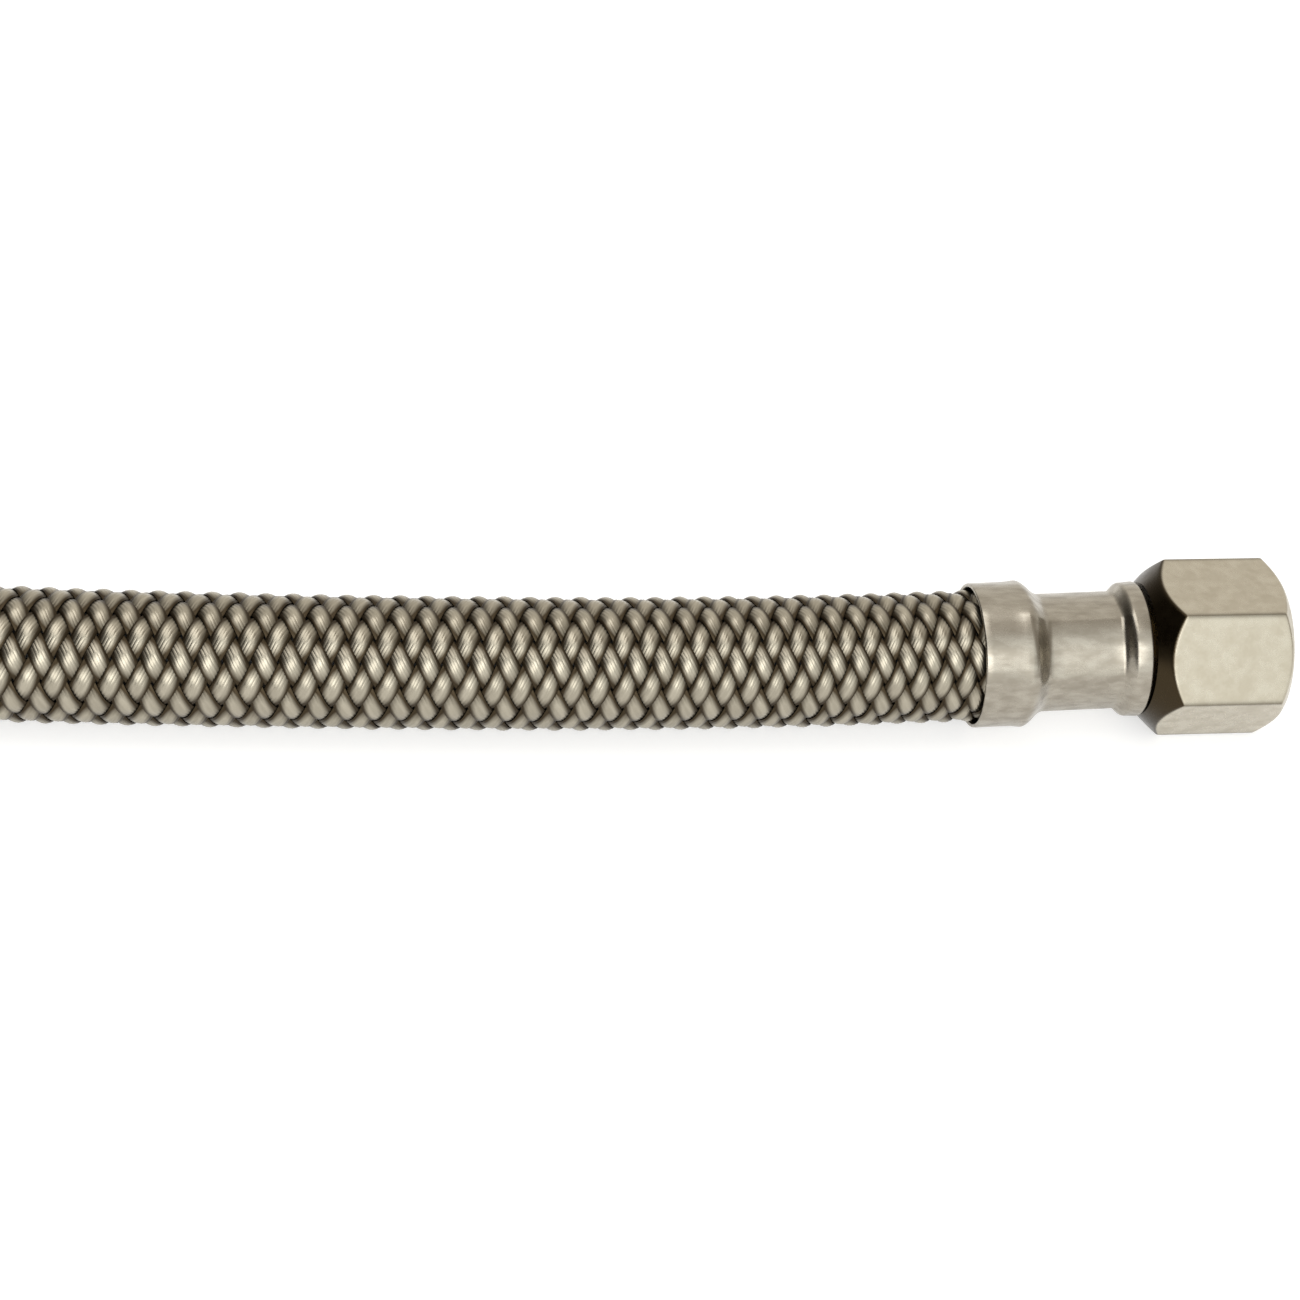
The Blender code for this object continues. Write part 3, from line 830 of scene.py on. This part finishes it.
@dataclass
class CrimpedFerrule(FittingPart):
    """Pressed ferrule: a band over the braid, a step down to the crimped neck, and a bead at the nut."""

    node: str = "ferrule"
    piece_name: str = "ferrule_shell"
    wall: float = 0.0004
    neck_inner_radius: float = 0.00532
    band_inner_radius: float = 0.00695
    bead_radius: float = 0.0069
    bead_cone: float = 0.00008
    bead_reach: float = 0.00025
    flare_length: float = 0.0015
    soft_step: float = 0.0003
    crimp_flats: int = 6
    crimp_turn: float = math.radians(17.5)
    crimp_depth: float = 0.35
    flat_fade: float = 0.0018
    flat_sharpness: int = 60
    bead_round: float = 0.00035
    rim_round: float = 0.00022
    band_rings: int = 9
    step_rings: int = 17
    neck_rings: int = 7
    flare_rings: int = 13
    round_rings: int = 9
    segments: int = 144

    def inner_line(self) -> tuple[np.ndarray, np.ndarray, np.ndarray]:
        """Inner line of the shell from the rim to the bead.

        Returns:
            Places from the hose's cut end, radii, and how far each ring is pressed to flats.
        """
        start, stop = NECK_LENGTH - self.soft_step, NECK_LENGTH + STEP_LENGTH + self.soft_step
        depth = np.concatenate(
            [
                np.linspace(-FERRULE_RIM - self.rim_round, stop, self.band_rings),
                np.linspace(stop, start, self.step_rings)[1:],
                np.linspace(start, 0.0, self.neck_rings)[1:],
            ]
        )
        out = ease((depth - start) / (stop - start))
        radius = self.neck_inner_radius + (self.band_inner_radius - self.neck_inner_radius) * out
        pressed = self.crimp_depth * (1 - ease((depth - NECK_LENGTH) / (STEP_LENGTH + self.flat_fade)))
        flare = np.linspace(0, 1, self.flare_rings)[1:]
        rise = self.bead_radius - self.bead_cone - self.wall - self.neck_inner_radius
        places = np.concatenate([-depth, self.flare_length * flare])
        radii = np.concatenate([radius, self.neck_inner_radius + rise * ease(flare)])
        shares = np.concatenate([pressed, self.crimp_depth * (1 - flare)])
        return places, radii, shares

    def pressed_ring(self, place: float, radius: float, share: float) -> np.ndarray:
        """Ring pressed towards flats, with soft corners.

        Args:
            place: distance from the hose's cut end towards the mouth.
            radius: radius at the middle of a flat.
            share: 0 for a round ring and 1 for a full polygon.

        Returns:
            The ring's points in the fitting's own axes.
        """
        turn = np.arange(self.segments) / self.segments * 2 * np.pi
        flat = 2 * np.pi / self.crimp_flats
        away = (turn - self.crimp_turn + flat / 2) % flat - flat / 2
        power = self.flat_sharpness
        polygon = (np.cos(away) ** power + np.cos(flat - np.abs(away)) ** power) ** (-1 / power)
        reach = radius * (1 + share * (polygon - 1))
        return rings_about_axis(np.array([place]), reach[None, :], turn)[0]

    def rings(self) -> np.ndarray:
        """Rings of the shell: its outside, the lip at the nut, its inside and the rolled rim.

        Returns:
            Points by ring and angle.
        """
        places, radii, shares = self.inner_line()
        wall, half = self.wall, self.wall / 2
        outside = [self.pressed_ring(p, r + wall, s) for p, r, s in zip(places, radii, shares)]
        inside = [self.pressed_ring(p, r, s) for p, r, s in zip(places, radii, shares)]
        face, curl = FERRULE_END + self.bead_reach, self.bead_round
        lip = [
            (face - curl * (1 - math.sin(t)), self.bead_radius - curl * (1 - math.cos(t)))
            for t in np.linspace(0, np.pi / 2, self.round_rings)
        ]
        lip += [(face, INSERT_HOLE_RADIUS + BROKEN_EDGE), (face - BROKEN_EDGE, INSERT_HOLE_RADIUS)]
        lip += [(face - wall, INSERT_HOLE_RADIUS), (face - wall, self.bead_radius - wall)]
        rim_radius = radii[0] + half
        start = places[0]
        edge = [
            (start - self.rim_round * math.sin(t), rim_radius - half * math.cos(t))
            for t in np.linspace(0, np.pi, self.round_rings)[1:-1]
        ]
        rings = outside + [self.pressed_ring(p, r, 0.0) for p, r in lip] + inside[::-1]
        return np.array(rings + [self.pressed_ring(p, r, 0.0) for p, r in edge])


@dataclass
class CouplingNut(FittingPart):
    """Hexagonal swivel nut, chamfered at both faces and threaded inside."""

    node: str = "nut"
    piece_name: str = "coupling_nut"
    sharp_angle: float = 0.75
    across_flats: float = 0.015875
    face_radius: float = 0.00755
    face_chamfer: float = math.radians(36)
    rear_radius: float = 0.00675
    rear_chamfer: float = math.radians(45)
    hole_radius: float = INSERT_HOLE_RADIUS
    relief_radius: float = 0.0070
    relief_length: float = 0.0026
    thread_crest_radius: float = 0.00662
    thread_root_radius: float = 0.00714
    thread_pitch: float = 0.001058
    mouth_radius: float = 0.00725
    edge_sharpness: float = 110.0
    corner_sharpness: float = 260.0
    # A length near the nut's own, in which reaches are counted before they are raised to a power
    reach_unit: float = 0.009
    steps_per_side: int = 36
    corner_crowding: float = 2.2
    # Rings at the two faces: the first, the step after it, and how many there are of them
    first_ring: float = 0.00004
    ring_step: float = 0.0001
    rear_rings: int = 30
    front_rings: int = 20
    # Where the flats' own rings start and stop, from the two faces
    rear_margin: float = 0.0034
    front_margin: float = 0.0024
    flat_rings: int = 8
    # The thread's V: its steepness, and the flat that it leaves on the crest
    thread_steepness: float = 2.9
    thread_flat: float = 0.25
    steps_per_pitch: int = 12
    mouth_land: float = 0.0002
    web_fillet: float = 0.0003
    # How far the painted shade reaches past the rear chamfer and fades, and its share along the corners
    film_edge: float = 0.00024
    film_fade: float = 0.00018
    corner_shade: float = 0.60
    corner_width: float = 0.00022

    def place(self, end: End, route: HoseRoute) -> tuple[Matrix, str]:
        """Matrix of the nut's own axes and the body that it rides on, which turns."""
        return route.swivel(end), f"{end.label}_nut"

    def rings(self) -> np.ndarray:
        """Rings of the nut: its outside and its inside."""
        return np.concatenate([self.outside()[0], self.inside()])

    def film(self) -> np.ndarray:
        """How much painted shade each point gets, with none inside."""
        return np.concatenate([self.outside()[1], np.zeros(self.inside().shape[:2])])

    def turns(self) -> np.ndarray:
        """Angles round the nut, closer together at the six corners.

        Returns:
            Rising angles in radians.
        """
        even = (np.arange(self.steps_per_side) / self.steps_per_side) * 2 - 1
        drawn = np.sign(even) * np.abs(even) ** self.corner_crowding
        side = np.pi / 3
        return np.concatenate([(k + drawn / 2) * side for k in range(6)])

    def hexagon(self, turn: np.ndarray) -> np.ndarray:
        """Reach of the hexagon, with slightly round corners at whole sixths of a turn.

        Args:
            turn: angles round the nut.

        Returns:
            Distances from the axis.
        """
        side = np.pi / 3
        away = (turn % side) - side / 2
        power = self.corner_sharpness
        near = np.cos(away) ** power + np.clip(np.cos(side - np.abs(away)), 0, 1) ** power
        return self.across_flats / 2 * near ** (-1 / power)

    def outside(self) -> tuple[np.ndarray, np.ndarray]:
        """Outer rings from the rear face to the front one.

        Returns:
            Rings of points, and how much painted shade each point gets, from 0 to 1.
        """
        turn = self.turns()
        rear, front = NUT_REAR - NUT_PIVOT, NUT_REAR + NUT_LENGTH - NUT_PIVOT
        ends = np.concatenate([[0.0, self.first_ring], np.arange(1, self.rear_rings + 1) * self.ring_step])
        flats = np.linspace(rear + self.rear_margin, front - self.front_margin, self.flat_rings)
        places = np.concatenate([rear + ends, flats, front - ends[: self.front_rings][::-1]])
        hexagon = self.hexagon(turn)[None, :]
        power = self.edge_sharpness
        rear_cone = self.rear_radius + (places - rear) / math.tan(self.rear_chamfer)
        face_cone = self.face_radius + (front - places) / math.tan(self.face_chamfer)
        limits = (hexagon, rear_cone[:, None], face_cone[:, None])
        reach = self.reach_unit * sum((r / self.reach_unit) ** -power for r in limits) ** (-1 / power)
        # Painted shade on the rear chamfer and the rounded edge beside it, and as dark lines along the
        # corners on the flats.
        film = np.clip((hexagon - rear_cone[:, None] + self.film_edge) / self.film_fade, 0, 1)
        off_corner = np.abs((turn + np.pi / 6) % (np.pi / 3) - np.pi / 6) * self.across_flats / 2
        painted_shading = self.corner_shade * np.exp(-((off_corner / self.corner_width) ** 2))
        on_flats = np.clip((face_cone[:, None] - hexagon) / self.film_fade, 0, 1)
        film = np.maximum(film, painted_shading * on_flats)
        return rings_about_axis(places, reach, turn), film

    def inside(self) -> np.ndarray:
        """Inner rings from the mouth back to the hole in the web, with the thread's helix.

        Returns:
            Rings of points.
        """
        turn = self.turns()
        rear, front = NUT_REAR - NUT_PIVOT, NUT_REAR + NUT_LENGTH - NUT_PIVOT
        web = rear + NUT_WEB
        start = web + self.relief_length
        places = np.arange(front - self.mouth_land, start, -self.thread_pitch / self.steps_per_pitch)
        phase = (places[:, None] / self.thread_pitch - turn[None, :] / (2 * np.pi)) % 1.0
        wave = np.clip(np.abs(phase - 0.5) * self.thread_steepness - self.thread_flat, 0, 1)
        reach = self.thread_crest_radius + (self.thread_root_radius - self.thread_crest_radius) * wave
        mouth = self.mouth_radius - (front - places)[:, None]
        thread = rings_about_axis(places, np.maximum(reach, mouth), turn)
        relief, hole = self.relief_radius, self.hole_radius
        plain = [
            (start - self.mouth_land, relief),
            (web + self.web_fillet, relief),
            (web, relief - self.web_fillet),
            (web, hole + BROKEN_EDGE),
            (web - BROKEN_EDGE, hole),
            (rear + BROKEN_EDGE, hole),
            (rear, hole + BROKEN_EDGE),
        ]
        face = rings_about_axis(np.array([front]), np.array([[self.mouth_radius]]), turn)
        plain = np.array(plain)
        return np.concatenate([face, thread, rings_about_axis(plain[:, 0], plain[:, 1:], turn)])


@dataclass
class TurnedPart(FittingPart):
    """What the hidden turned parts of a fitting share: a section that is turned about the axis."""

    bore: float = WATERWAY_RADIUS
    segments: int = 96

    def section(self) -> list[tuple[float, float]]:
        """Places and radii in order round the section, each part in its own way."""
        raise NotImplementedError

    def rings(self) -> np.ndarray:
        """Rings of the section's points.

        Returns:
            Points by ring and angle.
        """
        turn = np.arange(self.segments) / self.segments * 2 * np.pi
        section = np.array(self.section())
        return rings_about_axis(section[:, 0], section[:, 1:], turn)


@dataclass
class BarbedInsert(TurnedPart):
    """Brass insert: barbed tail, neck, flange with broken edges, and waterway."""

    node: str = "insert"
    piece_name: str = "turned_insert"
    tip: float = -0.0138
    tail: float = 0.00345
    taper: float = 0.00025
    barb: float = 0.00012
    barbs: int = 3
    neck: float = 0.0049
    flange: float = 0.0065
    broken: float = 0.00012

    def section(self) -> list[tuple[float, float]]:
        """Section of the insert, from its tip over the outside to the flange and back through the bore.

        Returns:
            Places and radii.
        """
        tip, tail, bore, broken = self.tip, self.tail, self.bore, self.broken
        front = FLANGE_BACK + FLANGE_THICKNESS
        spacing = (abs(tip) - self.taper) / (self.barbs + 1)
        section = [(tip, tail - self.taper), (tip + self.taper, tail)]
        for index in range(1, self.barbs + 1):
            place = tip + self.taper + spacing * index
            section += [(place, tail + self.barb), (place + self.barb, tail)]
        section += [(CLEARANCE, tail), (CLEARANCE, self.neck), (FLANGE_BACK, self.neck)]
        section += [(FLANGE_BACK, self.flange - broken), (FLANGE_BACK + broken, self.flange)]
        section += [(front - broken, self.flange), (front, self.flange - broken)]
        return section + [(front, bore + broken), (front - broken, bore), (tip, bore)]


@dataclass
class ConeSeal(TurnedPart):
    """Rubber cone seal: a short rim at the flange, a cone to the tip and a round lip."""

    node: str = "seal"
    piece_name: str = "cone_seal"
    length: float = 0.0040
    base: float = 0.0058
    rim: float = 0.0010
    shoulder: float = 0.0012
    tip: float = 0.0041
    lip_round: float = 0.00035
    lip_steps: int = 5

    def section(self) -> list[tuple[float, float]]:
        """Section of the seal, from its back over the cone to the lip and back through the bore.

        Returns:
            Places and radii.
        """
        back = FLANGE_BACK + FLANGE_THICKNESS + CLEARANCE
        front, base, bore, lip = back + self.length, self.base, self.bore, self.lip_round
        section = [(back, base - BROKEN_EDGE), (back + BROKEN_EDGE, base), (back + self.rim, base)]
        section += [(back + self.shoulder, base - BROKEN_EDGE)]
        for turn in np.linspace(0, np.pi / 2, self.lip_steps):
            section.append((front - lip * (1 - math.sin(turn)), self.tip - lip * (1 - math.cos(turn))))
        return section + [(front, bore + BROKEN_EDGE), (front - BROKEN_EDGE, bore), (back, bore)]


@dataclass
class Photographer:
    """The camera, at the photograph's viewing angle."""

    azimuth: float = -7.58
    elevation: float = 39.45
    roll: float = 6.32
    distance: float = 0.3027
    aim: tuple = (0.04996, -0.00028, 0.00655)
    lens: float = 83.08
    sensor_width: float = 36.0
    clip_start: float = 0.01
    clip_end: float = 10.0

    def build(self) -> None:
        """Makes the camera and hands it to the scene."""
        data = bpy.data.cameras.new("camera")
        data.lens, data.sensor_width = self.lens, self.sensor_width
        data.clip_start, data.clip_end = self.clip_start, self.clip_end
        camera = bpy.data.objects.new("camera", data)
        bpy.context.scene.collection.objects.link(camera)
        turn, rise = math.radians(self.azimuth), math.radians(self.elevation)
        back = Vector((math.sin(turn) * math.cos(rise), -math.cos(turn) * math.cos(rise), math.sin(rise)))
        facing = (-back).to_track_quat("-Z", "Y").to_matrix().to_4x4()
        rolled = facing @ Matrix.Rotation(math.radians(self.roll), 4, "Z")
        camera.matrix_world = Matrix.Translation(Vector(self.aim) + back * self.distance) @ rolled
        bpy.context.scene.camera = camera


@dataclass(frozen=True)
class Softbox:
    """A soft lamp that faces the hose."""

    name: str
    # Height in front of the hose as an angle in degrees, and the middle's place along X
    rise: float
    middle: float
    # Size along X and across it, and power in watts
    width: float
    length: float
    power: float
    distance: float = 0.60

    def build(self) -> None:
        """Makes the lamp and turns it to the hose."""
        data = bpy.data.lights.new(self.name, "AREA")
        data.shape, data.size, data.size_y = "RECTANGLE", self.width, self.length
        data.energy = self.power
        lamp = bpy.data.objects.new(self.name, data)
        bpy.context.scene.collection.objects.link(lamp)
        rise = math.radians(self.rise)
        away, across = Vector((0, -math.cos(rise), math.sin(rise))), Vector((1, 0, 0))
        turn = Matrix((across, away.cross(across), away)).transposed().to_4x4()
        lamp.matrix_world = Matrix.Translation(Vector((self.middle, 0, 0)) + away * self.distance) @ turn


@dataclass
class Studio:
    """Pale floor, a tent of plain light that is dark at its two sides, and two softboxes."""

    floor_size: float = 9.0
    front_grey: str = "F8FAF8"
    top_grey: str = "A39D94"
    back_grey: str = "DAD6CF"
    side_grey: str = "2A2621"
    world_level: float = 1.45
    # Axis of the view direction, where a fade starts and ends on it, and its full share:
    # past the left end, past the right end, overhead and behind
    fades: tuple = (
        ("X", -0.15, -0.75, 1.0),
        ("X", 0.40, 1.0, 0.20),
        ("Y", -0.5, -0.25, 1.0),
        ("Y", 0.05, 0.35, 1.0),
    )
    floor_drop: float = 0.0002
    lamps: tuple = (
        Softbox("overhead_softbox", 89, -0.13, 0.60, 0.44, 1.45),
        Softbox("front_softbox", 31, -0.06, 0.60, 0.38, 1.45),
    )

    def build(self) -> None:
        """Makes the floor, the world and the softboxes, and sets the plain view transform."""
        self.add_floor()
        self.add_world()
        for lamp in self.lamps:
            lamp.build()
        bpy.context.scene.view_settings.view_transform = "Standard"

    def add_floor(self) -> None:
        """Makes a flat sheet of paper under the nuts."""
        half = self.floor_size / 2
        points = np.array([(-half, -half, 0), (half, -half, 0), (half, half, 0), (-half, half, 0)])
        floor = make_piece("floor", points, [(0, 1, 2, 3)], WhitePaper().material())
        floor.location.z = -self.floor_drop

    def add_world(self) -> None:
        """Gives plain light from the front, less from above and behind, and little past the hose's ends."""
        world = bpy.data.worlds.new("studio_world")
        world.use_nodes = True
        bpy.context.scene.world = world
        tree = world.node_tree
        tree.nodes.clear()
        facing = add_node(tree, "ShaderNodeTexCoord").outputs["Generated"]
        axes = add_node(tree, "ShaderNodeSeparateXYZ", {"Vector": facing}).outputs
        left, right, over, behind = (
            add_node(
                tree,
                "ShaderNodeMapRange",
                {"Value": axes[axis], "From Min": low, "From Max": high, "To Max": share},
            ).outputs["Result"]
            for axis, low, high, share in self.fades
        )
        tones = {FACTOR: over, FIRST: linear(self.front_grey), SECOND: linear(self.top_grey)}
        front = add_node(tree, "ShaderNodeMix", tones, data_type="RGBA").outputs[MIXED]
        tones = {FACTOR: behind, FIRST: front, SECOND: linear(self.back_grey)}
        tent = add_node(tree, "ShaderNodeMix", tones, data_type="RGBA").outputs[MIXED]
        dark = add_node(tree, "ShaderNodeMath", {0: left, 1: right}, operation="MAXIMUM").outputs[0]
        tones = {FACTOR: dark, FIRST: tent, SECOND: linear(self.side_grey)}
        colour = add_node(tree, "ShaderNodeMix", tones, data_type="RGBA").outputs[MIXED]
        light = add_node(tree, "ShaderNodeBackground", {"Strength": self.world_level, "Color": colour})
        add_node(tree, "ShaderNodeOutputWorld", {"Surface": light.outputs[0]})


def main() -> None:
    """Builds the camera, the hose, both fittings and the studio."""
    logging.basicConfig(level=logging.INFO, format="%(name)s: %(message)s")
    route = HoseRoute()
    Photographer().build()
    BraidedSleeve().build(route, DrawnStainlessWire().material())
    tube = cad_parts["inner_tube"]
    tube.data.materials.clear()
    tube.data.materials.append(BlackRubber("extruded_black_rubber").material())
    nut_finish, ferrule_finish = NickelPlatedBrass().material(), PressedStainless().material()
    brass, rubber = TurnedBrass().material(), BlackRubber("moulded_black_rubber").material()
    for end in End:
        for piece in (
            CouplingNut().build(end, route, nut_finish),
            CrimpedFerrule().build(end, route, ferrule_finish),
            BarbedInsert().build(end, route, brass),
            ConeSeal().build(end, route, rubber),
        ):
            LOG.info("%s: %d faces", piece.name, len(piece.data.polygons))
    Studio().build()


if __name__ == "__main__":
    main()
